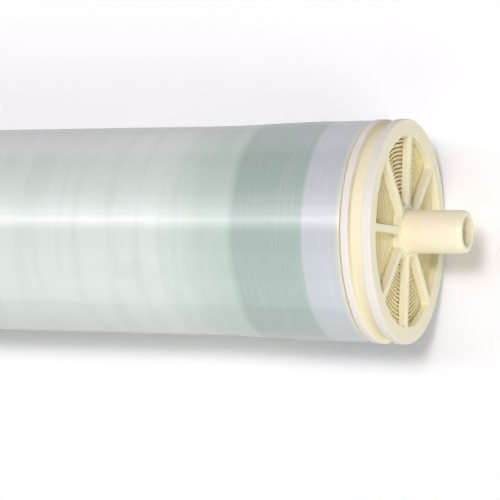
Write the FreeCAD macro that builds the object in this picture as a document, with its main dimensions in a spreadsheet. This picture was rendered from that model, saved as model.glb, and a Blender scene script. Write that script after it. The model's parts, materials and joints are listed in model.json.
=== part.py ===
import FreeCAD, Part
import math
import operator
import os
import Sketcher

# A spiral-wound reverse-osmosis element: flat membrane leaves rolled round a product water tube,
# with a spoked end cap at each end and a wound glass-fibre wrap over the roll.
# The tube lies along X, centred on the origin. The two ends are alike.

SIZES = {
    # Product water tube
    "element_length": 1016.0,   # from tube tip to tube tip
    "tube_stub": 26.7,          # how far the tube stands out of each end cap
    "tube_od": 19.05,           # of the stubs, which are turned for the couplers' seals
    "seat_step": 0.3,           # what the turning took off the tube
    "tube_wall": 2.825,
    "tip_lead": 2.3,            # tapered lead-in at each tip, along the tube
    "tip_drop": 0.6,            # and how far it comes in
    "product_hole": 3.0,        # the holes that let the product water into the tube
    "product_hole_count": 2,
    "product_hole_margin": 240.0,

    # End cap
    "cap_od": 99.0,
    "face_flange": 4.0,
    "groove_width": 6.1,        # for a brine seal, fitted at the feed end in use
    "groove_depth": 3.0,
    "rear_flange": 3.3,
    "skirt_length": 18.0,
    "skirt_step": 2.3,          # from the flanges down to the skirt
    "skirt_wall": 2.0,
    "wheel_depth": 3.4,         # rim, spokes and hub
    "rim_lip": 3.2,             # how far the rim reaches in over the end of the roll
    "hub_wall": 1.9,
    "hub_clearance": 0.1,
    "spoke_count": 8,
    "spoke_width": 3.2,
    "front_clocking": -3.5,     # the turn of each cap on the roll
    "rear_clocking": 0.0,

    # Roll of membrane leaves
    "leaf_count": 6,
    "leaf_thickness": 0.65,     # two membranes with the permeate carrier glued between them
    "feed_channel": 1.17,       # the feed spacer's room between one leaf and the next
    "core_wall": 1.3,           # least thickness of the core wrap
    "tape_wall": 1.0,           # least thickness of the roll tape
    "roll_clearance": 0.2,      # between the roll and the skirt

    # Wound outer wrap
    "wrap_wall": 2.6,           # on the roll
    "skirt_cover": 1.8,         # and on the skirts, where it flares
    "wrap_gap": 0.3,            # to the rear flange
    "flare_land": 2.6,          # full flare past the end of the skirt
    "flare_taper": 58.0,
}


class Size:
    """A number together with the sheet expression that gives it."""

    def __init__(self, number, text):
        self.number = number
        self.text = text

    def __add__(self, other):
        return combined(self, "+", other)

    def __sub__(self, other):
        return combined(self, "-", other)

    def __mul__(self, other):
        return combined(self, "*", other)

    def __truediv__(self, other):
        return combined(self, "/", other)

    def __rtruediv__(self, other):
        return combined(other, "/", self)

    def __neg__(self):
        return combined(0, "-", self)


OPERATORS = {"+": operator.add, "-": operator.sub, "*": operator.mul, "/": operator.truediv}
NONE = Size(0.0, "0")


def combined(first, sign, second):
    """The sum, difference, product or quotient of two sizes, or of a size and a plain number."""
    a, b = (s if isinstance(s, Size) else Size(s, str(s)) for s in (first, second))
    return Size(OPERATORS[sign](a.number, b.number), f"({a.text} {sign} {b.text})")


def fill_sheet(doc):
    """Write every size to the spreadsheet under its own alias, and return them by name."""
    sheet = doc.addObject("Spreadsheet::Sheet", "Sizes")
    for row, (name, number) in enumerate(SIZES.items(), start=1):
        sheet.set(f"A{row}", name)
        sheet.set(f"B{row}", str(number))
        sheet.setAlias(f"B{row}", name)
    doc.recompute()
    return {name: Size(float(sheet.get(name)), f"Sizes.{name}") for name in SIZES}


# Sketches and features

def new_body(doc, name):
    body = doc.addObject("PartDesign::Body", name)
    body.Label = name
    return body


def origin_feature(body, role):
    return next(f for f in body.Origin.OriginFeatures if f.Role == role)


def new_sketch(body, role, name):
    """An empty sketch on one of the body's own origin planes."""
    sketch = body.newObject("Sketcher::SketchObject", name)
    sketch.AttachmentSupport = [(origin_feature(body, role), "")]
    sketch.MapMode = "FlatFace"
    return sketch


def constrain(sketch, size, *constraint):
    """Add one constraint that follows a size."""
    index = sketch.addConstraint(Sketcher.Constraint(*constraint, size.number))
    sketch.setExpression(f"Constraints[{index}]", size.text)


def closed_outline(sketch, corners):
    """Straight sides from corner to corner, with each corner held at its two sizes."""
    points = [FreeCAD.Vector(x.number, y.number, 0) for x, y in corners]
    for start, end in zip(points, points[1:] + points[:1]):
        sketch.addGeometry(Part.LineSegment(start, end))
    for side, (x, y) in enumerate(corners):
        following = (side + 1) % len(corners)
        sketch.addConstraint(Sketcher.Constraint("Coincident", side, 2, following, 1))
        constrain(sketch, x, "DistanceX", -1, 1, side, 1)
        constrain(sketch, y, "DistanceY", -1, 1, side, 1)


def turned(body, name, corners):
    """Turn an outline of (along, out) corners round the X axis."""
    sketch = new_sketch(body, "XZ_Plane", name + "_outline")
    closed_outline(sketch, corners)
    revolution = body.newObject("PartDesign::Revolution", name)
    revolution.Profile = sketch
    revolution.ReferenceAxis = (sketch, ["H_Axis"])
    revolution.Angle = 360
    sketch.Visibility = False
    return revolution


def both_ends(corners):
    """The same corners at +X and, in the opposite order, at -X."""
    return corners + [(-along, out) for along, out in reversed(corners)]


def finish(body, tip):
    body.Tip = tip
    return body


# Product water tube

def product_holes(doc, body, size, first, last):
    """A row of holes right through the tube, spaced evenly between two stations."""
    sketch = new_sketch(body, "XY_Plane", "product_hole_circle")
    middle = FreeCAD.Vector(first.number, 0, 0)
    sketch.addGeometry(Part.Circle(middle, FreeCAD.Vector(0, 0, 1), size["product_hole"].number / 2))
    sketch.addConstraint(Sketcher.Constraint("PointOnObject", 0, 3, -1))
    constrain(sketch, size["product_hole"], "Diameter", 0)
    constrain(sketch, first, "DistanceX", -1, 1, 0, 3)
    hole = body.newObject("PartDesign::Pocket", "product_hole")
    hole.Profile = sketch
    hole.Type = "ThroughAll"
    hole.Midplane = True
    doc.recompute()
    row = body.newObject("PartDesign::LinearPattern", "product_hole_row")
    row.Originals = [hole]
    row.Direction = (origin_feature(body, "X_Axis"), [""])
    row.setExpression("Length", (last - first).text)
    row.setExpression("Occurrences", size["product_hole_count"].text)
    return row


def tube_radius(size):
    """The tube's radius inside the caps and the roll, where it is as it was extruded."""
    return size["tube_od"] / 2 + size["seat_step"]


def permeate_tube(doc, size):
    body = new_body(doc, "permeate_tube")
    tip = size["element_length"] / 2
    outer = size["tube_od"] / 2
    turned(body, "tube_wall", both_ends([
        (cap_face(size), tube_radius(size)),
        (cap_face(size), outer),
        (tip - size["tip_lead"], outer),
        (tip, outer - size["tip_drop"]),
        (tip, outer - size["tube_wall"]),
    ]))
    end = tip - size["product_hole_margin"]
    return finish(body, product_holes(doc, body, size, -end, end))


# End caps

def cap_face(size):
    """Distance from the origin to the outer face of a cap."""
    return size["element_length"] / 2 - size["tube_stub"]


def bead_depth(size):
    """The two flanges and the groove between them."""
    return size["face_flange"] + size["groove_width"] + size["rear_flange"]


def skirt_end(size):
    return bead_depth(size) + size["skirt_length"]


def skirt_radius(size):
    return size["cap_od"] / 2 - size["skirt_step"]


def skirt_bore(size):
    return skirt_radius(size) - size["skirt_wall"]


def roll_radius(size):
    return skirt_bore(size) - size["roll_clearance"]


def hub_bore(size):
    return tube_radius(size) + size["hub_clearance"]


def rim_outline(size, inward):
    """The cap's section from the hub's bore out to the flanges and back along the skirt."""
    outer = size["cap_od"] / 2
    groove = outer - size["groove_depth"]
    flange = size["face_flange"]
    rear = flange + size["groove_width"]
    section = [
        (NONE, hub_bore(size)),
        (NONE, outer),
        (flange, outer),
        (flange, groove),
        (rear, groove),
        (rear, outer),
        (bead_depth(size), outer),
        (bead_depth(size), skirt_radius(size)),
        (skirt_end(size), skirt_radius(size)),
        (skirt_end(size), skirt_bore(size)),
        (size["wheel_depth"], skirt_bore(size)),
        (size["wheel_depth"], hub_bore(size)),
    ]
    return [(depth * inward, out) for depth, out in section]


def window_outline(sketch, size):
    """One opening of the wheel: two arcs round the axis and two sides beside the spokes."""
    centre = FreeCAD.Vector(0, 0, 0)
    normal = FreeCAD.Vector(0, 0, 1)
    pitch = Size(360.0, "360") / size["spoke_count"]
    half = size["spoke_width"] / 2
    radii = [skirt_bore(size) - size["rim_lip"], hub_bore(size) + size["hub_wall"]]
    ends = []
    for radius in radii:
        swing = math.asin(half.number / radius.number)
        first, last = swing, math.radians(pitch.number) - swing
        sketch.addGeometry(Part.ArcOfCircle(Part.Circle(centre, normal, radius.number), first, last))
        ends.append([FreeCAD.Vector(math.cos(a), math.sin(a), 0) * radius.number for a in (first, last)])
    outer, inner, near, far = 0, 1, 2, 3
    sketch.addGeometry(Part.LineSegment(ends[inner][0], ends[outer][0]))
    sketch.addGeometry(Part.LineSegment(ends[inner][1], ends[outer][1]))
    for arc, radius in zip((outer, inner), radii):
        sketch.addConstraint(Sketcher.Constraint("Coincident", arc, 3, -1, 1))
        constrain(sketch, radius, "Radius", arc)
    for side, arc_end in ((near, 1), (far, 2)):
        sketch.addConstraint(Sketcher.Constraint("Coincident", side, 1, inner, arc_end))
        sketch.addConstraint(Sketcher.Constraint("Coincident", side, 2, outer, arc_end))
        constrain(sketch, half, "Distance", -1, 1, side)
    sketch.addConstraint(Sketcher.Constraint("Horizontal", near))
    constrain(sketch, pitch, "Angle", -1, 1, far, 1)


def end_cap(doc, size, name, inward, clocking):
    """A moulded cap: wheel, flanges and skirt. Inward is the sign of X that leads to the roll."""
    body = new_body(doc, name)
    turned(body, name + "_rim", rim_outline(size, inward))
    sketch = new_sketch(body, "YZ_Plane", name + "_window_outline")
    window_outline(sketch, size)
    window = body.newObject("PartDesign::Pocket", name + "_window")
    window.Profile = sketch
    window.Type = "ThroughAll"
    window.Midplane = True
    doc.recompute()
    windows = body.newObject("PartDesign::PolarPattern", name + "_windows")
    windows.Originals = [window]
    windows.Axis = (origin_feature(body, "X_Axis"), [""])
    windows.Angle = 360
    windows.setExpression("Occurrences", size["spoke_count"].text)
    body.Placement.Rotation = FreeCAD.Rotation(FreeCAD.Vector(1, 0, 0), clocking.number)
    body.setExpression("Placement.Rotation.Angle", f"{clocking.text} * 1 deg")
    body.setExpression("Placement.Base.x", (cap_face(size) * -inward).text)
    return finish(body, windows)


# Roll. The leaves lie on a spiral drawn from as many centres as there are leaves. The centres are the
# corners of a small polygon whose side is one leaf with its channel, so that each bend is a round arc,
# runs smoothly into the next, and nests exactly on the leaf below.

class Spiral:
    """The centres, bends and radii that all the leaves, the core wrap and the tape share."""

    def __init__(self, size):
        self.leaves = round(size["leaf_count"].number)
        self.leaf = size["leaf_thickness"].number
        self.pitch = self.leaf + size["feed_channel"].number
        self.turn = 2 * math.pi / self.leaves
        self.tube = tube_radius(size).number
        self.roll = roll_radius(size).number
        self.root = self.tube + size["core_wall"].number + self.pitch / 2
        room = self.roll - size["tape_wall"].number - self.pitch / 2 - self.root
        self.bends = math.floor(room / self.pitch)
        self.tail = self.root + self.bends * self.pitch
        self.face = cap_face(size).number - size["wheel_depth"].number

    def point(self, bend, turned_by, radius):
        """A point of a bend, at a radius about that bend's own centre."""
        middle = bend * self.turn
        offset = self.pitch / (2 * math.sin(self.turn / 2))
        angle = middle - math.pi / 2 - self.turn / 2 + turned_by * self.turn
        y = offset * math.cos(middle) + radius * math.cos(angle)
        z = offset * math.sin(middle) + radius * math.sin(angle)
        return FreeCAD.Vector(-self.face, y, z)

    def arc(self, bend, radius):
        return Part.Arc(*(self.point(bend, share, radius) for share in (0, 0.5, 1))).toShape()

    def leaf_wire(self, number):
        """The end view of one leaf: its inner face, its tail, its outer face and its root."""
        inner, outer = [], []
        for step in range(self.bends):
            top = self.root + (step + 1) * self.pitch
            inner.append(self.arc(number + step, top - self.leaf))
            outer.append(self.arc(number + step, top))
        last = number + self.bends - 1
        tail = Part.makeLine(self.point(last, 1, self.tail - self.leaf), self.point(last, 1, self.tail))
        top = self.root + self.pitch
        root = Part.makeLine(self.point(number, 0, top - self.leaf), self.point(number, 0, top))
        return Part.Wire(Part.__sortEdges__(inner + [tail] + outer + [root]))

    def stepped_wire(self, radius):
        """The roll's inner or outer outline, with one step where each leaf starts or ends."""
        edges = []
        for bend in range(self.leaves):
            edges.append(self.arc(bend, radius))
            edges.append(Part.makeLine(self.point(bend, 1, radius), self.point(bend + 1, 0, radius)))
        return Part.Wire(edges)

    def circle(self, radius):
        middle = FreeCAD.Vector(-self.face, 0, 0)
        return Part.Wire(Part.makeCircle(radius, middle, FreeCAD.Vector(1, 0, 0)))

    def extruded(self, outer, hole=None):
        """A solid of the roll's full length from its end view."""
        face = Part.Face(outer)
        if hole is not None:
            face = face.cut(Part.Face(hole)).Faces[0]
        return face.extrude(FreeCAD.Vector(2 * self.face, 0, 0))


def shaped(doc, name, shape):
    feature = doc.addObject("Part::Feature", name)
    feature.Label = name
    feature.Shape = shape
    feature.Placement = FreeCAD.Placement()
    return feature


def core_wrap(doc, spiral):
    """Permeate carrier wound on the tube, stepped where the leaves are rooted."""
    return shaped(doc, "core_wrap", spiral.extruded(spiral.stepped_wire(spiral.root), spiral.circle(spiral.tube)))


def membrane_leaf(doc, spiral, number):
    return shaped(doc, f"membrane_leaf_{number + 1}", spiral.extruded(spiral.leaf_wire(number)))


def roll_tape(doc, spiral):
    """Tape and glue that close the roll, with the leaves' tails bedded in its steps."""
    return shaped(doc, "roll_tape", spiral.extruded(spiral.circle(spiral.roll), spiral.stepped_wire(spiral.tail)))


# Outer wrap

def outer_wrap(doc, size):
    """Wound glass fibre and resin, lying on the roll between the skirts and climbing over them."""
    body = new_body(doc, "outer_wrap")
    face = cap_face(size)
    end = face - bead_depth(size) - size["wrap_gap"]
    skirt = face - skirt_end(size)
    land = skirt - size["flare_land"]
    flare = skirt_radius(size) + size["skirt_cover"]
    on_roll = roll_radius(size) + size["wrap_wall"]
    outside = [(land - size["flare_taper"], on_roll), (land, flare), (end, flare)]
    inside = [(end, skirt_radius(size)), (skirt, skirt_radius(size)), (skirt, roll_radius(size))]
    return finish(body, turned(body, "wound_wall", both_ends(outside + inside)))


# Build, check and write

def build():
    doc = FreeCAD.newDocument("ro_membrane_element")
    size = fill_sheet(doc)
    spiral = Spiral(size)
    pieces = [
        permeate_tube(doc, size),
        end_cap(doc, size, "front_end_cap", -1, size["front_clocking"]),
        end_cap(doc, size, "rear_end_cap", 1, size["rear_clocking"]),
        outer_wrap(doc, size),
        roll_tape(doc, spiral),
        core_wrap(doc, spiral),
    ]
    pieces += [membrane_leaf(doc, spiral, number) for number in range(spiral.leaves)]
    doc.recompute()
    return doc, pieces


def check(doc, pieces):
    """Stop if any feature failed or any piece is not one sound solid."""
    for feature in doc.Objects:
        if "Invalid" in feature.State or "Error" in feature.State:
            raise RuntimeError(f"{feature.Name} failed: {feature.State}")
    for piece in pieces:
        if piece.Shape.isNull() or not piece.Shape.isValid() or len(piece.Shape.Solids) != 1:
            raise RuntimeError(f"{piece.Label} is not one sound solid")


def write(pieces):
    os.makedirs("parts", exist_ok=True)
    for piece in pieces:
        piece.Shape.exportStep(f"parts/{piece.Label}.step")
        print(piece.Label, "volume", round(piece.Shape.Volume / 1000, 2), "cm3")


document, parts = build()
check(document, parts)
write(parts)
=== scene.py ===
# %% [markdown]
# # A reverse osmosis membrane element
#
# The object is a roll of membrane leaves wound on a plastic tube. A moulded cap closes each end, and a skin of
# wound glass fibre in resin holds the roll. This lesson dresses the measured model of it: each piece that shows is
# built again with rounded edges and fine rings, and gets a finish made from nodes alone.

# %% Load the measured model
import json
import math
import random

import bmesh
import bpy
from mathutils import Matrix, Vector, noise


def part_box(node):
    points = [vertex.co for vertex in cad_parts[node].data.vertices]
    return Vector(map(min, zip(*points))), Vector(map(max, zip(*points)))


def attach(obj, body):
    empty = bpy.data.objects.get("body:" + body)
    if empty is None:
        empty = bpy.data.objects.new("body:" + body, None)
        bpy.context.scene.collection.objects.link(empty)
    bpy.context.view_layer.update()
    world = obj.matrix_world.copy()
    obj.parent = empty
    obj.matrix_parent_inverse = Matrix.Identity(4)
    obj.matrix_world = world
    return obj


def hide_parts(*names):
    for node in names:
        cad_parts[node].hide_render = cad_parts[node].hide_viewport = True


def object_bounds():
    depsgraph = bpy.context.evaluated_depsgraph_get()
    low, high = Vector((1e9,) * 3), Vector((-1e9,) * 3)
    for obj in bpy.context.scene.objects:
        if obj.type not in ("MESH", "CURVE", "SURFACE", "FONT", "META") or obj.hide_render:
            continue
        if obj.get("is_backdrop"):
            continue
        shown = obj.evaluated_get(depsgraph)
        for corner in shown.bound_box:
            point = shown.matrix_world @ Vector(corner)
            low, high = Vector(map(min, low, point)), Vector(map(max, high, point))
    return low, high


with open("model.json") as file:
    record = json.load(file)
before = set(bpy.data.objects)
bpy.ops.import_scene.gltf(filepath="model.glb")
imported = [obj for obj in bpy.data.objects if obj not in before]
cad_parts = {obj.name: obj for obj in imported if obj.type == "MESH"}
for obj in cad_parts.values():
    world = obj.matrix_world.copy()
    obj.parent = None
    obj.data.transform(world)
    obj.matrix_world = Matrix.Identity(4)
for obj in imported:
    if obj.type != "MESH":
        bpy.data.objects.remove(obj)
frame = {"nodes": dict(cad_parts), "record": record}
model_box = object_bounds()
print("model box:", [[round(value, 4) for value in corner] for corner in model_box])

# %% [markdown]
# ## Sizes
#
# The pieces of the model already stand at their true places, so nearly every size can be read from them. Reading
# them, and not typing them again, keeps the dressed pieces inside the measured ones. The element lies along X, with
# its middle at the origin, so a piece that is turned needs only its reach along X and its radius. What a box cannot
# tell, such as the width of a groove, is named here once.

# %% Read the sizes
MM = 0.001


def reach(node):
    """The lowest and highest X of a node, and its greatest radius."""
    low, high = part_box(node)
    return low.x, high.x, max(high.y, high.z)


tube_low, tube_tip, tube_radius = reach("permeate_tube")
skirt_end, face_x, rim_radius = reach("front_end_cap")
_, wrap_end, wrap_radius = reach("outer_wrap")
_, roll_end, roll_radius = reach("roll_tape")
mounts = {mount["name"]: mount["dims"] for mount in frame["record"]["mounts"]}
stub_radius = mounts["front_tube_end"]["r_mm"] * MM
bore_radius = mounts["permeate_bore"]["r_mm"] * MM

hub_radius = 11.825 * MM
hub_bore = tube_radius + 0.1 * MM
window_radius = 42.0 * MM
wheel_depth = face_x - roll_end
front_flange = 4.0 * MM
groove_width = 6.1 * MM
groove_radius = 46.5 * MM
rear_flange_end = 13.4 * MM
skirt_radius = 47.2 * MM
skirt_bore = 45.2 * MM
spoke_count = 8
spoke_width = 3.2 * MM
front_clocking = math.radians(-3.5)
rear_clocking = 0.0
print(f"tube tips {2000 * stub_radius:.2f} mm, caps {2000 * rim_radius:.1f} mm, wrap {2000 * wrap_radius:.1f} mm")
print(f"wheel {1000 * wheel_depth:.2f} mm deep, faces {2000 * face_x:.1f} mm apart")

# %% [markdown]
# ## Turned outlines
#
# The tube, the skin and the rims of the caps are all turned: one outline swept round the X axis. Blender's Screw
# modifier could do that, but a short piece of mesh code gives the same rings and also lets a ring be uneven. Real
# edges are never sharp, so a corner of an outline is first eased by a small arc. The light that catches such an arc
# is what makes an edge look moulded.

# %% Ease the corners of an outline


def eased(corners, steps=4):
    """Corners are (along, out, radius). Gives (along, out) points, with an arc at each corner that has a radius."""
    points = []
    for here, (along, out, radius) in enumerate(corners):
        corner = Vector((along, out))
        before = Vector(corners[here - 1][:2]) - corner
        after = Vector(corners[(here + 1) % len(corners)][:2]) - corner
        if radius <= 0:
            points.append(corner)
            continue
        half = before.angle(after) / 2
        back = radius / math.tan(half)
        middle = corner + (before.normalized() + after.normalized()).normalized() * radius / math.sin(half)
        start = corner + before.normalized() * back - middle
        sweep = start.angle_signed(corner + after.normalized() * back - middle)
        for step in range(steps + 1):
            turn = -sweep * step / steps
            spoke = Vector((start.x * math.cos(turn) - start.y * math.sin(turn),
                            start.x * math.sin(turn) + start.y * math.cos(turn)))
            points.append(middle + spoke)
    return points


square = eased([(0, 0, 0.2), (1, 0, 0.2), (1, 1, 0.2), (0, 1, 0.2)])
print(f"an eased square has {len(square)} points and stays within {max(max(p) for p in square):.3f}")

# %% [markdown]
# An outline becomes a piece when it is swept round the axis, one ring of points at a time. A piece is finished by
# welding points that meet, marking the edges that stay crisp, parenting it to the body it rides on and hiding the
# solids of the model that it stands for. A modifier that evens out the normals keeps flat faces flat beside their
# rounded edges.

# %% Sweep an outline round the axis


def new_mesh(name):
    """An empty bmesh, with the name that its object will get."""
    return name, bmesh.new()


def sweep(mesh, outline, angles, closed=True, wander=None):
    """Adds a ring of faces for each side of the outline. wander may move a point, by its along, out and angle."""
    rings = []
    for along, out in outline:
        ring = []
        for angle in angles:
            x, radius = wander(along, out, angle) if wander else (along, out)
            ring.append(mesh.verts.new((x, radius * math.cos(angle), radius * math.sin(angle))))
        rings.append(ring)
    pairs = list(zip(rings, rings[1:]))
    if closed:
        pairs.append((rings[-1], rings[0]))
    for near, far in pairs:
        for side in range(len(angles)):
            next_side = (side + 1) % len(angles)
            mesh.faces.new((near[side], near[next_side], far[next_side], far[side]))
    return rings


def full_turn(count):
    """Evenly spaced angles."""
    return [math.tau * step / count for step in range(count)]


def placed(name, mesh, stands_for=(), bend=32):
    """Turns a bmesh into an object that rides on the element, with soft shading up to the bend angle in degrees."""
    bmesh.ops.remove_doubles(mesh, verts=mesh.verts, dist=1e-7)
    bmesh.ops.recalc_face_normals(mesh, faces=mesh.faces)
    for face in mesh.faces:
        face.smooth = True
    for edge in mesh.edges:
        edge.smooth = len(edge.link_faces) == 2 and edge.calc_face_angle(0) < math.radians(bend)
    data = bpy.data.meshes.new(name)
    mesh.to_mesh(data)
    mesh.free()
    piece = bpy.data.objects.new(name, data)
    bpy.context.scene.collection.objects.link(piece)
    even = piece.modifiers.new("even_normals", "WEIGHTED_NORMAL")
    even.keep_sharp = True
    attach(piece, "root")
    if stands_for:
        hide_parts(*stands_for)
    triangles = sum(len(polygon.vertices) - 2 for polygon in data.polygons)
    print(f"{name}: {triangles} triangles")
    return piece


print("one turn in 8:", [round(math.degrees(angle)) for angle in full_turn(8)])

# %% [markdown]
# ## Permeate tube
#
# The clean water leaves through this tube. It is a plain extruded tube. What stands out of a cap is turned to size
# for the seals of the coupling, with a short taper at the tip. A lathe outline is the natural way to make it, since
# that is how the real stubs are made. Inside the roll nothing of it shows, so few rings are needed there.

# %% Turn the tube
taper_length = 2.3 * MM
taper_drop = 0.6 * MM
tip_out = stub_radius - taper_drop
tube_outline = eased([
    (tube_low, bore_radius, 0.25 * MM),
    (tube_low, tip_out, 0.45 * MM),
    (tube_low + taper_length, stub_radius, 1.6 * MM),
    (-face_x, stub_radius, 0.1 * MM),
    (-face_x, tube_radius, 0.1 * MM),
    (face_x, tube_radius, 0.1 * MM),
    (face_x, stub_radius, 0.1 * MM),
    (tube_tip - taper_length, stub_radius, 1.6 * MM),
    (tube_tip, tip_out, 0.45 * MM),
    (tube_tip, bore_radius, 0.25 * MM),
])
name, mesh = new_mesh("permeate_tube_turned")
sweep(mesh, tube_outline, full_turn(128))
permeate_tube = placed(name, mesh, ["permeate_tube"])
print(f"wall at the tip {1000 * (tip_out - bore_radius):.2f} mm")

# %% [markdown]
# ## End cap: one window and the face round it
#
# The cap's wheel has eight windows, which let the feed water into the roll. Cutting eight holes with booleans would
# leave long thin faces, and no way to round the edges evenly. Here one eighth of the wheel is drawn as two matching
# loops of points. The inner loop is the window, the outer loop is the border of that eighth, and a strip of
# four-sided faces joins them. The window loop then goes down into the wall with a small rounding, which gives each
# spoke its soft front edge.

# %% Draw the window and its border
half_sector = math.pi / spoke_count
arc_points = 24
corner_points = 8
side_points = 10


def toward(angle, radius):
    """A point of the wheel's plane."""
    return Vector((radius * math.cos(angle), radius * math.sin(angle)))


def beside_spoke(along, away):
    """A point beside the spoke that ends the sector: so far out along it, so far to the window's side of it."""
    return toward(half_sector, along) + toward(half_sector - math.pi / 2, away)


def half_window(shrink, outer_ease=1.6 * MM, inner_ease=1.1 * MM):
    """Points of a window from the middle of its outer arc to the middle of its inner arc, on the spoke's side."""
    outer = window_radius - shrink
    inner = hub_radius + shrink
    away = spoke_width / 2 + shrink
    points = []
    rise = away + outer_ease
    reach_out = math.sqrt((outer - outer_ease) ** 2 - rise ** 2)
    middle = beside_spoke(reach_out, rise)
    start = math.atan2(middle.y, middle.x)
    points += [toward(start * step / (arc_points // 2), outer) for step in range(arc_points // 2)]
    stop = half_sector + math.pi / 2
    points += [middle + toward(start + (stop - start) * step / corner_points, outer_ease)
               for step in range(corner_points)]
    rise_in = away + inner_ease
    reach_in = math.sqrt((inner + inner_ease) ** 2 - rise_in ** 2)
    points += [beside_spoke(reach_out + (reach_in - reach_out) * step / side_points, away)
               for step in range(side_points)]
    middle = beside_spoke(reach_in, rise_in)
    turn_in = math.atan2(middle.y, middle.x)
    start, stop = half_sector + math.pi / 2, turn_in + math.pi
    points += [middle + toward(start + (stop - start) * step / corner_points, inner_ease)
               for step in range(corner_points)]
    points += [toward(turn_in * (1 - step / (arc_points // 2)), inner) for step in range(arc_points // 2 + 1)]
    return points


def half_border(rim, hub):
    """The border's points that match half_window: along the rim, down the middle of the spoke, along the hub."""
    window = half_window(0)
    half_arc, half_corner = arc_points // 2, corner_points // 2
    first_side = half_arc + corner_points
    last_side = first_side + side_points
    points = []
    for step in range(half_arc + half_corner):
        points.append(toward(half_sector * step / (half_arc + half_corner), rim))
    side_start = window[first_side].length
    for step in range(half_corner):
        points.append(toward(half_sector, rim + (side_start - rim) * step / half_corner))
    side_stop = window[last_side].length
    for step in range(side_points):
        points.append(toward(half_sector, side_start + (side_stop - side_start) * step / side_points))
    for step in range(half_corner):
        points.append(toward(half_sector, side_stop + (hub - side_stop) * step / half_corner))
    for step in range(half_corner + half_arc + 1):
        points.append(toward(half_sector * (1 - step / (half_arc + half_corner)), hub))
    return points


def mirrored(points):
    """A half outline and its mirror image, as one closed loop."""
    return points + [Vector((point.x, -point.y)) for point in reversed(points[1:-1])]


window_loop = mirrored(half_window(0))
border_loop = mirrored(half_border(rim_radius, hub_bore))
print(f"a window has {len(window_loop)} points, its border {len(border_loop)}")
first_side = arc_points // 2 + corner_points
beside = half_window(0)[first_side:first_side + side_points]
print(f"a spoke is {2000 * min((toward(half_sector, p.length) - p).length for p in beside):.2f} mm wide")

# %% [markdown]
# ## End cap: the whole moulding
#
# The rest of the cap is turned: a front flange, the groove that takes a rubber seal, a second flange, and a thin
# skirt that the skin is wound over. Its rings use the same angles as the border of the wheel, so both parts join
# point to point into one closed mesh, just as the real cap is one moulding. The walls of the groove and the
# windows lean in by a hair, as a mould needs. The rear cap is the same moulding, turned round.

# %% Build a cap
rim_steps = arc_points + corner_points
edge_ease = 0.55 * MM
spoke_ease = 0.5 * MM
mouth_ease = 0.45 * MM


def add_window(mesh, turn):
    """Adds one eighth of the wheel: face, rounded edge, wall and back."""
    def loop(points, depth):
        return [mesh.verts.new((-depth, p.x * math.cos(turn) - p.y * math.sin(turn),
                                p.x * math.sin(turn) + p.y * math.cos(turn))) for p in points]

    loops = [loop(mirrored(half_border(rim_radius - edge_ease, hub_bore + mouth_ease)), 0)]
    for step in range(5):
        bend = math.pi / 2 * step / 4
        shrink = -spoke_ease * (1 - math.sin(bend))
        loops.append(loop(mirrored(half_window(shrink)), spoke_ease * (1 - math.cos(bend))))
    draft = 0.12 * MM
    loops.append(loop(mirrored(half_window(draft)), wheel_depth))
    loops.append(loop(mirrored(half_border(skirt_bore, hub_bore)), wheel_depth))
    for near, far in zip(loops, loops[1:]):
        for here in range(len(near)):
            after = (here + 1) % len(near)
            mesh.faces.new((near[here], near[after], far[after], far[here]))


def add_rim(mesh):
    """Adds the flanges, the groove and the skirt, from the edge of the face to the back of the wheel."""
    skirt_length = face_x - skirt_end
    draft = 0.12 * MM
    corners = [
        (0, rim_radius, edge_ease),
        (-front_flange, rim_radius, 0.4 * MM),
        (-front_flange - draft, groove_radius, 0.5 * MM),
        (-front_flange - groove_width + draft, groove_radius, 0.5 * MM),
        (-front_flange - groove_width, rim_radius, 0.4 * MM),
        (-rear_flange_end, rim_radius - 0.03 * MM, 0.45 * MM),
        (-rear_flange_end, skirt_radius, 0.3 * MM),
        (-skirt_length, skirt_radius, 0.3 * MM),
        (-skirt_length, skirt_bore, 0.3 * MM),
        (-wheel_depth, skirt_bore, 0),
        (0, skirt_bore, 0),
    ]
    outline = eased(corners)[:-1]
    angles = [math.tau * step / (rim_steps * spoke_count) for step in range(rim_steps * spoke_count)]
    sweep(mesh, outline, angles, closed=False)


def add_hub_bore(mesh):
    """Adds the bore of the hub, with its rounded mouth."""
    outline = [(-wheel_depth, hub_bore)]
    for step in range(5):
        bend = math.pi / 2 * step / 4
        outline.append((-mouth_ease * (1 - math.sin(bend)), hub_bore + mouth_ease * (1 - math.cos(bend))))
    angles = [math.tau * step / (rim_steps * spoke_count) for step in range(rim_steps * spoke_count)]
    sweep(mesh, outline, angles, closed=False)


def build_cap(name, node, at, clocking, turned_round):
    """One cap. The wheel is built with its face at X = 0, then turned and moved to its place."""
    name, mesh = new_mesh(name)
    for window in range(spoke_count):
        add_window(mesh, (2 * window + 1) * half_sector)
    add_rim(mesh)
    add_hub_bore(mesh)
    facing = Matrix.Rotation(math.pi, 4, "Z") if turned_round else Matrix.Identity(4)
    to_place = Matrix.Translation((at, 0, 0)) @ Matrix.Rotation(clocking, 4, "X") @ facing
    bmesh.ops.transform(mesh, matrix=to_place, verts=mesh.verts)
    bmesh.ops.remove_doubles(mesh, verts=mesh.verts, dist=2e-6)
    open_edges = sum(1 for edge in mesh.edges if len(edge.link_faces) != 2)
    print(f"{name}: {open_edges} open edges")
    return placed(name, mesh, [node])


front_cap = build_cap("front_cap_moulding", "front_end_cap", face_x, front_clocking, False)
rear_cap = build_cap("rear_cap_moulding", "rear_end_cap", -face_x, rear_clocking, True)

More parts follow.
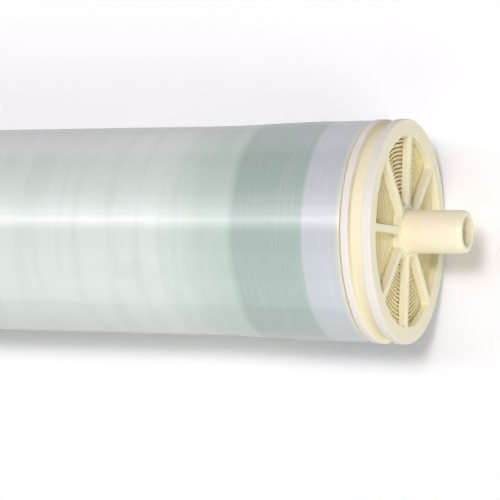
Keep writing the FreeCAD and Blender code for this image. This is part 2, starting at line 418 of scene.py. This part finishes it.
# %% [markdown]
# ## Outer wrap
#
# The skin is glass fibre, wound wet with resin over the roll and over the skirts of both caps. It swells where it
# climbs over a skirt and stops just short of the flange. The swell is drawn with an S-shaped easing curve, because
# strands laid under tension never make a sharp kink. The cut edge wanders by a fraction of a millimetre, so each
# point of those rings is moved a little by noise.

# %% Wind the outer wrap
flare_land = 2.6 * MM
flare_taper = 58 * MM
body_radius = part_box("outer_wrap")[1].z - 1.4 * MM
taper_start = skirt_end - flare_land
taper_end = taper_start - flare_taper
ring_step = 4 * MM
skin_edge = 0.7 * MM
strand_sag = 0.07 * MM
cut_wander = 0.22 * MM
cut_zone = 1.2 * MM


def skin_radius(along):
    """The radius of the skin at a distance from the middle."""
    away = abs(along)
    if away >= taper_start:
        return wrap_radius
    share = min(1, max(0, (away - taper_end) / flare_taper))
    return body_radius + (wrap_radius - body_radius) * share * share * (3 - 2 * share)


def ragged(along, out, angle):
    """The strands lie unevenly, and the cut end is a little ragged. Nothing reaches past the measured skin."""
    place = Vector((along * 90, math.cos(angle) * 1.6, math.sin(angle) * 1.6))
    sag = strand_sag * (0.5 + 0.5 * noise.noise(place))
    if abs(along) > wrap_end - cut_zone:
        edge = noise.noise(Vector((7.3, math.cos(angle) * 5, math.sin(angle) * 5)))
        along -= math.copysign(cut_wander * (0.5 + 0.5 * edge), along)
    return along, out - (sag if out > skirt_radius + 0.3 * MM or abs(along) < taper_end else 0)


half_count = round((wrap_end - 2 * MM) / ring_step)
outside = [(step * (wrap_end - 2 * MM) / half_count) for step in range(-half_count, half_count + 1)]
edge_bends = [math.radians(90 * step / 4) for step in range(5)]
front_edge = [(wrap_end - skin_edge * (1 - math.sin(bend)), wrap_radius - skin_edge * (1 - math.cos(bend)))
              for bend in edge_bends]
rear_edge = [(-along, out) for along, out in reversed(front_edge)]
skin_outline = rear_edge + [(along, skin_radius(along)) for along in outside] + front_edge
skin_outline += [(wrap_end, skirt_radius), (skirt_end, skirt_radius), (skirt_end, roll_radius)]
skin_outline += [(-skirt_end, roll_radius), (-skirt_end, skirt_radius), (-wrap_end, skirt_radius)]
name, mesh = new_mesh("fibre_wrap_skin")
sweep(mesh, skin_outline, full_turn(256), wander=ragged)
fibre_wrap = placed(name, mesh, ["outer_wrap"], bend=50)
print(f"skin {2000 * body_radius:.1f} mm across on the roll, {2000 * wrap_radius:.1f} mm over the skirts")

# %% [markdown]
# ## Feed spacer nets
#
# Between one leaf and the next lies a net of plastic strands, which keeps a channel open for the feed water. The
# strands run in two layers that cross, and at the end of the roll each one is cut off flush. Only those ends can be
# seen, so only the last few millimetres of each strand are built. The spiral is the one that the leaves are rolled
# on: arcs of a sixth of a turn, drawn from the corners of a small hexagon, each a pitch wider than the one before.

# %% Follow the channel beside a leaf
leaf_count = 6
leaf_pitch = 1.82 * MM
feed_channel = 1.17 * MM
root_radius = 12.035 * MM
bend_count = 16
sixth = math.tau / leaf_count


def channel_place(leaf, length, rise):
    """A point in the channel outside a leaf, so far along it, and so far out of its middle, as (y, z)."""
    step = 0
    while True:
        radius = root_radius + (step + 1) * leaf_pitch + feed_channel / 2
        if length <= radius * sixth or step == bend_count - 1:
            break
        length -= radius * sixth
        step += 1
    middle = (leaf + step) * sixth
    angle = middle - math.pi / 2 - sixth / 2 + length / radius
    centre = toward(middle, leaf_pitch)
    return centre + toward(angle, radius + rise)


channel_length = sum((root_radius + (step + 1) * leaf_pitch + feed_channel / 2) * sixth for step in range(bend_count))
print(f"each channel is {1000 * channel_length:.0f} mm long and {1000 * feed_channel:.2f} mm wide")

# %% [markdown]
# A strand is a thin six-sided rod. It starts flush with the end of the roll, a little unevenly, because the roll is
# trimmed with a knife. The two layers of the net run slantwise in opposite directions, one above the middle of the
# channel and one below. A hair system or an array could place them too, but a loop can follow the spiral exactly.

# %% Lay the strands of a net
strand_radius = 0.25 * MM
strand_spacing = 4.2 * MM
strand_reach = 7 * MM
strand_sides = 6
strand_slope = 0.9
layer_lift = 0.98 * strand_radius
look_ahead = 0.5 * MM


def add_strand(mesh, leaf, start, side, end_x, rng):
    """One cut strand, from the end of the roll slantwise into its channel."""
    inward = -math.copysign(1, end_x)
    cut = rng.uniform(0.05, 0.45) * MM
    rings = []
    for share in (0, 0.45, 1):
        depth = cut + share * strand_reach
        along = start + side * depth * strand_slope
        if not 1 * MM < along < channel_length - 1 * MM:
            return
        place = channel_place(leaf, along, side * layer_lift)
        ahead = channel_place(leaf, along + look_ahead, side * layer_lift) - place
        sideways = ahead * (side * strand_slope / look_ahead)
        slant = Vector((inward, sideways.x, sideways.y)).normalized()
        outward = Vector((0, -ahead.y, ahead.x)).normalized()
        across = slant.cross(outward)
        middle = Vector((end_x + inward * depth, place.x, place.y))
        rings.append([mesh.verts.new(middle + outward * strand_radius * math.cos(math.tau * n / strand_sides)
                                     + across * strand_radius * math.sin(math.tau * n / strand_sides))
                      for n in range(strand_sides)])
    for near, far in zip(rings, rings[1:]):
        for n in range(strand_sides):
            m = (n + 1) % strand_sides
            mesh.faces.new((near[n], near[m], far[m], far[n]))
    mesh.faces.new(rings[0])
    mesh.faces.new(rings[-1])


def lay_net(name, end_x, seed):
    """All the strand ends at one end of the roll."""
    rng = random.Random(seed)
    name, mesh = new_mesh(name)
    for leaf in range(leaf_count):
        for side in (-1, 1):
            start = rng.uniform(0, strand_spacing)
            while start < channel_length:
                add_strand(mesh, leaf, start + rng.uniform(-0.3, 0.3) * MM, side, end_x, rng)
                start += strand_spacing
    return placed(name, mesh, bend=70)


front_net = lay_net("feed_spacer_net_front", roll_end, 11)
rear_net = lay_net("feed_spacer_net_rear", -roll_end, 12)

# %% [markdown]
# ## Shader maths
#
# Every finish here is made of nodes, and a finish is far easier to read as sums than as a list of links. This small
# class wraps one socket. Adding or multiplying two of them adds the Math node that does it. Any other node comes
# from one method, which sets the node's own settings first and then its sockets.

# %% A socket that can be used in sums


class Wire:
    """One socket of a material's node tree."""

    def __init__(self, tree, socket=None):
        self.tree = tree
        self.socket = socket

    def node(self, kind, settings=None, sockets=None, output=0):
        """Adds a node and gives a wire from one of its outputs."""
        added = self.tree.nodes.new("ShaderNode" + kind)
        for key, value in (settings or {}).items():
            setattr(added, key, value)
        for key, value in (sockets or {}).items():
            if isinstance(value, Wire):
                self.tree.links.new(value.socket, added.inputs[key])
            else:
                added.inputs[key].default_value = value
        return Wire(self.tree, added.outputs[output])

    def maths(self, operation, *values):
        return self.node("Math", {"operation": operation}, dict(enumerate(values)))

    def __add__(self, other):
        return self.maths("ADD", self, other)

    def __radd__(self, other):
        return self.maths("ADD", other, self)

    def __sub__(self, other):
        return self.maths("SUBTRACT", self, other)

    def __rsub__(self, other):
        return self.maths("SUBTRACT", other, self)

    def __mul__(self, other):
        return self.maths("MULTIPLY", self, other)

    def __rmul__(self, other):
        return self.maths("MULTIPLY", other, self)

    def within(self, low, high):
        """0 below low, 1 above high, and a soft step between them. Low may be the greater."""
        return self.node("MapRange", {"interpolation_type": "SMOOTHSTEP"},
                         {"Value": self, "From Min": low, "From Max": high})

    def blend(self, first, second):
        """The first colour where this wire is 0, the second where it is 1."""
        return self.node("Mix", {"data_type": "RGBA"}, {0: self, 6: first, 7: second}, 2)


def colour(red, green, blue):
    """A colour as it is read off a colour chart, 0 to 255, as the linear light that shaders work in."""
    def linear(value):
        value /= 255
        return value / 12.92 if value <= 0.04045 else ((value + 0.055) / 1.055) ** 2.4

    return linear(red), linear(green), linear(blue), 1.0


print("mid grey is", round(colour(188, 188, 188)[0], 3), "of white in linear light")

# %% [markdown]
# The same three helpers start every finish: a place on the element in millimetres, noise whose grain is given in
# millimetres too, and the shader at the end. With real lengths a finish keeps its scale when a piece changes size.
# The noise needs no unwrapping, so no seam can show.

# %% A place on the element, and grain along it


def new_finish(name):
    """An empty material, and a wire to add nodes with."""
    material = bpy.data.materials.new(name)
    material.use_nodes = True
    material.node_tree.nodes.clear()
    return material, Wire(material.node_tree)


def position(tree):
    """X, Y and Z on the element, in millimetres, as three wires."""
    place = tree.node("TexCoord", output="Object")
    split = place.tree.nodes.new("ShaderNodeSeparateXYZ")
    place.tree.links.new(place.socket, split.inputs[0])
    return [Wire(place.tree, split.outputs[axis]) * 1000 for axis in "XYZ"]


def grain(tree, x, y, z, detail=2.0, rough=0.5):
    """Noise, from 0 to 1, whose features are about as big as 1 unit of these three."""
    place = tree.node("CombineXYZ", None, {"X": x, "Y": y, "Z": z})
    return tree.node("TexNoise", None, {"Vector": place, "Scale": 1.0, "Detail": detail, "Roughness": rough})


def complete(material, tree, base, roughness, height=None, bump_mm=0.0, **constants):
    """Adds the shader. A height wire, from 0 to 1, becomes a relief of so many millimetres."""
    sockets = {"Base Color": base, "Roughness": roughness}
    if height is not None:
        sockets["Normal"] = tree.node("Bump", None, {"Height": height, "Distance": bump_mm * MM, "Strength": 1.0})
    for key, value in constants.items():
        sockets[key.replace("_", " ")] = value
    shader = tree.node("BsdfPrincipled", None, sockets)
    surface = tree.tree.nodes.new("ShaderNodeOutputMaterial").inputs["Surface"]
    tree.tree.links.new(shader.socket, surface)
    print(f"{material.name}: {len(material.node_tree.nodes)} nodes")
    return material


print(len(bpy.data.materials), "plain materials came with the measured model")

# %% [markdown]
# ## Moulded and extruded plastic
#
# Caps and tube are cream plastic. A moulded part is never one flat colour: the melt leaves faint clouds, and the
# surface has the fine texture of the mould. The clouds are soft noise of a centimetre or two, and the texture is a
# very low relief. The outermost faces of the cap, found by their radius, are painted a paler, whiter cream: a painted
# sheen.

# %% Cap plastic
cap_plastic, tree = new_finish("cap_cream_moulded")
x, y, z = position(tree)
clouds = grain(tree, x * 0.09, y * 0.09, z * 0.09, 3.0)
speckle = grain(tree, x * 4.0, y * 4.0, z * 4.0, 2.0)
base = clouds.blend(colour(249, 244, 214), colour(246, 240, 206))
radius = tree.maths("SQRT", y * y + z * z)
# Painted sheen: the outermost faces of the rim are painted a paler, whiter cream.
painted_rim_sheen = radius.within(1000 * rim_radius - 1.2, 1000 * rim_radius - 0.3)
base = (painted_rim_sheen * 0.8).blend(base, colour(244, 241, 234))
base = (speckle.within(0.62, 0.75) * 0.10).blend(base, colour(226, 217, 182))
gloss = 0.40 + clouds * 0.10 + speckle * 0.06
complete(cap_plastic, tree, base, gloss, speckle * 0.6 + clouds * 0.4, 0.05, IOR=1.5)

# %% [markdown]
# The tube was drawn through a die and its ends were turned, so its marks run round it. Noise that changes quickly
# along the tube and slowly across it gives such marks, both in the gloss and as a relief of a fiftieth of a
# millimetre.

# %% Tube plastic
tube_plastic, tree = new_finish("tube_cream_turned")
x, y, z = position(tree)
clouds = grain(tree, x * 0.05, y * 0.12, z * 0.12, 3.0)
turning = grain(tree, x * 6.0, y * 0.15, z * 0.15, 2.0)
base = clouds.blend(colour(253, 248, 220), colour(250, 244, 210))
gloss = 0.34 + turning * 0.14
complete(tube_plastic, tree, base, gloss, turning, 0.02, IOR=1.5)

# %% [markdown]
# ## Wound glass fibre
#
# Strands of glass are all but clear in resin. What shows are thousands of fine lines round the roll, whiter where a
# strand is dry and greener where the resin is thick. The winder lays one layer leaning one way and the next the
# other, so two families of streaks cross at a small angle. Planes that lean a little cut a cylinder in just such
# lines, and need no seam. Where the skin swells towards a skirt the resin is thicker, so the colour deepens, and
# over the skirt the pale plastic shows through.

# %% Glass fibre in resin
wrap_finish, tree = new_finish("glass_fibre_in_resin")
x, y, z = position(tree)
away = tree.maths("ABSOLUTE", x)
lean = 0.045
taper_mm, land_mm, skirt_mm, cut_mm = (1000 * value for value in (taper_end, taper_start, skirt_end, wrap_end))
layers = []
for side in (-1, 1):
    leaning = x + y * (side * lean) + z * (side * 0.6 * lean)
    layers.append(grain(tree, leaning * 1.1, y * 0.02, z * 0.02, 3.0, 0.6))
strands = layers[0] * 0.5 + layers[1] * 0.5
hair = grain(tree, x * 3.6, y * 0.05, z * 0.05, 2.0, 0.6)
patches = grain(tree, x * 0.035, y * 0.03, z * 0.03, 3.0, 0.55)
bands = grain(tree, x * 0.13, y * 0.012, z * 0.012, 2.0, 0.5)

dry = colour(226, 239, 230)
wet = colour(201, 221, 209)
thick = colour(176, 196, 187)
over_skirt = colour(208, 216, 218)
taper = away.within(taper_mm - 14, taper_mm + 22)
deep = away.within(land_mm - 33.5, land_mm - 28.5)
skirt = away.within(skirt_mm - 1.2, skirt_mm + 1.2)
base = taper.blend(dry, wet)
base = deep.blend(base, thick)
base = skirt.blend(base, over_skirt)
# The last few millimetres before the cut end are paler and yellower. This is partly the cream skirt seen through thin
# resin, and partly painted light that lifts the shade on the rounded cut edge.
base = away.within(cut_mm - 3.0, cut_mm - 0.6).blend(base, colour(230, 231, 208))
paler = (strands.within(0.48, 0.72) * 0.30 + hair.within(0.50, 0.80) * 0.22) * (1.0 - taper * 0.5)
base = paler.blend(base, colour(240, 246, 243))
darker = bands.within(0.52, 0.30) * 0.14 + patches.within(0.5, 0.25) * 0.14
base = darker.blend(base, colour(176, 196, 186))
gloss = 0.30 + strands * 0.12 + hair * 0.08
relief = strands * 0.55 + hair * 0.2 + bands * 0.25
complete(wrap_finish, tree, base, gloss, relief, 0.06, IOR=1.52, Coat_Weight=1.0, Coat_IOR=1.58, Coat_Roughness=0.13)

# %% [markdown]
# ## The end of the roll
#
# Behind the windows lie the trimmed edges of the leaves, and the net ends between them. The leaves are tan
# membrane on a white backing, with glue that has soaked in and yellowed. Each leaf of the model has its true shape
# there, so these nodes stay and only get a finish, and so do the core wrap and the roll tape.

# %% Membrane, carrier, net and tape
leaf_finish, tree = new_finish("membrane_edge_tan")
x, y, z = position(tree)
glue = grain(tree, x * 0.12, y * 0.12, z * 0.12, 3.0)
fibres = grain(tree, x * 2.5, y * 2.5, z * 2.5, 3.0)
base = glue.within(0.35, 0.7).blend(colour(252, 242, 196), colour(246, 232, 172))
base = (fibres.within(0.55, 0.75) * 0.4).blend(base, colour(250, 244, 214))
complete(leaf_finish, tree, base, 0.55 + fibres * 0.2, fibres, 0.08)

net_finish, tree = new_finish("spacer_net_plastic")
x, y, z = position(tree)
tint = grain(tree, x * 0.3, y * 0.3, z * 0.3, 2.0)
base = tint.blend(colour(250, 242, 202), colour(242, 230, 176))
complete(net_finish, tree, base, 0.38 + tint * 0.12, tint, 0.02)

tape_finish, tree = new_finish("roll_tape_white")
x, y, z = position(tree)
weave = grain(tree, x * 1.5, y * 1.5, z * 1.5, 2.0)
base = weave.blend(colour(226, 220, 190), colour(212, 204, 166))
complete(tape_finish, tree, base, 0.5 + weave * 0.2, weave, 0.05)

# %% [markdown]
# A built piece gets its finish as its only material. A solid of the model that stays on show keeps its mesh as it is,
# and only its material is changed.

# %% Put the finishes on
for piece, finish in ((front_cap, cap_plastic), (rear_cap, cap_plastic), (permeate_tube, tube_plastic),
                      (fibre_wrap, wrap_finish), (front_net, net_finish), (rear_net, net_finish)):
    piece.data.materials.append(finish)
for node, piece in frame["nodes"].items():
    if node.startswith("membrane_leaf") or node == "core_wrap":
        finish = leaf_finish
    elif node == "roll_tape":
        finish = tape_finish
    else:
        continue
    piece.data.materials.clear()
    piece.data.materials.append(finish)
print("dressed:", sorted(node for node, piece in frame["nodes"].items() if not piece.hide_render))

# %% [markdown]
# ## Floor
#
# The element lies on a plain white table, and the camera looks down on it. A sheet of white with a soft shadow is
# all that is needed. In the camera's eyes the white is lifted a little, and it turns into pure white a hand's width
# away from the element. So the sheet keeps the shadow, and the lamps need not be turned up to light all of it.

# %% Lay the floor
floor_level = -rim_radius
floor_size = 6.0
mesh = bmesh.new()
grid = bmesh.ops.create_grid(mesh, x_segments=8, y_segments=8, size=floor_size / 2)
bmesh.ops.translate(mesh, verts=mesh.verts, vec=(0, 0, floor_level))
data = bpy.data.meshes.new("table_sheet")
mesh.to_mesh(data)
mesh.free()
floor = bpy.data.objects.new("table_sheet", data)
bpy.context.scene.collection.objects.link(floor)
floor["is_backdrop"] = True

white, tree = new_finish("white_sheet")
path = tree.node("LightPath", output="Is Camera Ray")
paper = tree.node("BsdfDiffuse", None, {"Color": (0.7, 0.7, 0.7, 1.0)})
lift = 1.07
fade_start, fade_end = 62, 125
lit = tree.node("BsdfDiffuse", None, {"Color": (lift, lift, lift, 1.0)})
x, y, _ = position(tree)
past_tip = tree.maths("MAXIMUM", tree.maths("ABSOLUTE", x) - 1000 * tube_tip, 0.0)
far = tree.maths("SQRT", past_tip * past_tip + y * y).within(fade_start, fade_end)
bright = tree.node("Emission", None, {"Color": (1, 1, 1, 1), "Strength": 1.0})
seen = tree.node("MixShader", None, {0: far, 1: lit, 2: bright})
both = tree.node("MixShader", None, {0: path, 1: paper, 2: seen})
surface = tree.tree.nodes.new("ShaderNodeOutputMaterial").inputs["Surface"]
tree.tree.links.new(both.socket, surface)
data.materials.append(white)
print(f"floor {1000 * -floor_level:.1f} mm below the tube's middle")

# %% [markdown]
# ## Camera
#
# The camera stands over the table and a little beyond the front cap, so the face of the cap shows as a narrow
# ellipse. A long lens from about a metre keeps the far part of the roll nearly as tall as the near part.

# %% Set up the camera
turn = math.radians(23.77)
tilt = math.radians(1.15)
distance = 0.9685
aim = Vector((face_x - 0.0764, -0.00866, 0))
back = Vector((math.sin(turn) * math.cos(tilt), math.sin(tilt), math.cos(turn) * math.cos(tilt)))
up = Vector((-math.sin(turn) * math.sin(tilt), math.cos(tilt), -math.cos(turn) * math.sin(tilt)))
right = up.cross(back)
lens = bpy.data.cameras.new("camera")
lens.sensor_width = 36
lens.lens = 153.8
lens.clip_start = 0.05
lens.clip_end = 50
camera = bpy.data.objects.new("camera", lens)
camera.matrix_world = Matrix.Translation(aim + back * distance) @ Matrix((right, up, back)).transposed().to_4x4()
bpy.context.scene.collection.objects.link(camera)
bpy.context.scene.camera = camera
print("camera at", [round(value, 3) for value in camera.matrix_world.translation])

# %% [markdown]
# ## Light
#
# A cylinder mirrors whatever lies across it, so long softboxes that hang side by side along it draw one long
# highlight. The one next to the camera ends abruptly, which gives the highlight its sharp side. The ones beyond get
# weaker, which gives it its soft side. Two wide and weak ones on the other side fill the lower half of the roll. A
# small key lamp draws the shadow on the sheet, and two more boxes look at the face of the cap. The angle of a strip
# is measured round the roll, from straight above towards +Y.

# %% Hang the lamps


def softbox(name, place, toward_point, width, height, watts, tint):
    """A plain panel that shines at a point and that the camera does not see."""
    lamp = bpy.data.lights.new(name, "AREA")
    lamp.shape = "RECTANGLE"
    lamp.size, lamp.size_y = width, height
    lamp.energy = watts
    lamp.color = tint
    box = bpy.data.objects.new(name, lamp)
    box.visible_camera = False
    box.location = place
    direction = Vector(toward_point) - Vector(place)
    box.rotation_euler = direction.to_track_quat("-Z", "Y").to_euler()
    bpy.context.scene.collection.objects.link(box)
    print(f"{name}: {watts} W, {width} x {height} m")
    return box


hang = 2.0
strip_length = 3.2
strip_x = -0.2
cap_x = face_x - 0.03
cool, neutral = (1.0, 0.95, 1.0), (1.0, 1.0, 1.0)
# from angle, to angle, watts, tint
strips = ((3.5, 9, 3.2, cool), (9, 16, 10.6, cool), (16, 26, 7.2, cool), (26, 40, 3.4, cool),
          (-48, -20, 4.6, neutral), (-89, -50, 11.6, neutral))
for number, (low, high, watts, tint) in enumerate(strips):
    middle, spread = math.radians((low + high) / 2), math.radians(high - low)
    softbox(f"strip_box_{number}", (strip_x, hang * math.sin(middle), hang * math.cos(middle)), (strip_x, 0, 0),
            strip_length, 2 * hang * math.tan(spread / 2), watts, tint)
softbox("key_box", (face_x + 0.40, 0.39, 1.95), (cap_x, 0, 0), 0.3, 0.3, 14.0, cool)
softbox("end_box", (1.6, -0.7, 0.15), (cap_x, 0, 0), 0.9, 0.35, 6.0, neutral)
softbox("face_box", (1.7, -0.3, 1.0), (cap_x, 0, 0), 0.8, 0.6, 4.0, neutral)

world = bpy.data.worlds.new("studio")
bpy.context.scene.world = world
world.use_nodes = True
world.node_tree.nodes.clear()
tree = Wire(world.node_tree)
path = tree.node("LightPath", output="Is Camera Ray")
ambient = tree.node("Background", None, {"Color": (1, 1, 1, 1), "Strength": 0.02})
seen = tree.node("Background", None, {"Color": (1, 1, 1, 1), "Strength": 1.0})
both = tree.node("MixShader", None, {0: path, 1: ambient, 2: seen})
surface = tree.tree.nodes.new("ShaderNodeOutputWorld").inputs["Surface"]
tree.tree.links.new(both.socket, surface)

bpy.context.scene.view_settings.view_transform = "Standard"

# %% [markdown]
# ## Finish
#
# The last step measures how far the dressed model reaches past the measured one.

# %% Measure the dressed model
dressed_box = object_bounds()
growth = max(max(model_box[0][i] - dressed_box[0][i], dressed_box[1][i] - model_box[1][i]) for i in range(3))
print(f"the dressed model reaches {1000 * growth:.3f} mm past the measured one")
